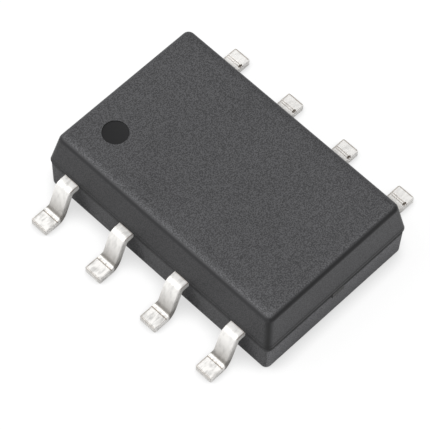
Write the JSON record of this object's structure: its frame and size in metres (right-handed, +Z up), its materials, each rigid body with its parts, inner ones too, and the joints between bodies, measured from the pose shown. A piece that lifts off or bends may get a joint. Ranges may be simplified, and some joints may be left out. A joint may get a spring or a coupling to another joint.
{
  "type": "eeprom chip",
  "caption": "Black moulded memory chip with two rows of gull-wing leads for surface mounting and a round mark beside the first lead.",
  "frame": {"origin": "middle of the package, on the plane that the feet of the leads stand on", "axes": "+X across the package from the row with lead 1 to the other row, +Y along the package towards the end with lead 1, +Z up from the board"},
  "size_m": [0.0096, 0.01, 0.0028],
  "materials": {
    "moulding_compound": "fine matt texture, black epoxy",
    "tinned_leads": "satin tin plating",
    "paddle_metal": "plain copper alloy",
    "die_adhesive": "silver-filled epoxy",
    "silicon": "polished, dark blue grey",
    "gold_wire": "bright"
  },
  "bodies": {
    "root": {"package_body": "moulding_compound", "lead_1": "tinned_leads", "lead_2": "tinned_leads", "lead_3": "tinned_leads", "lead_4": "tinned_leads", "lead_5": "tinned_leads", "lead_6": "tinned_leads", "lead_7": "tinned_leads", "lead_8": "tinned_leads", "die_paddle": "paddle_metal", "die_attach": "die_adhesive", "memory_die": "silicon", "bond_wire_1": "gold_wire", "bond_wire_2": "gold_wire", "bond_wire_3": "gold_wire", "bond_wire_4": "gold_wire", "bond_wire_5": "gold_wire", "bond_wire_6": "gold_wire", "bond_wire_7": "gold_wire", "bond_wire_8": "gold_wire"}
  },
  "joints": []
}
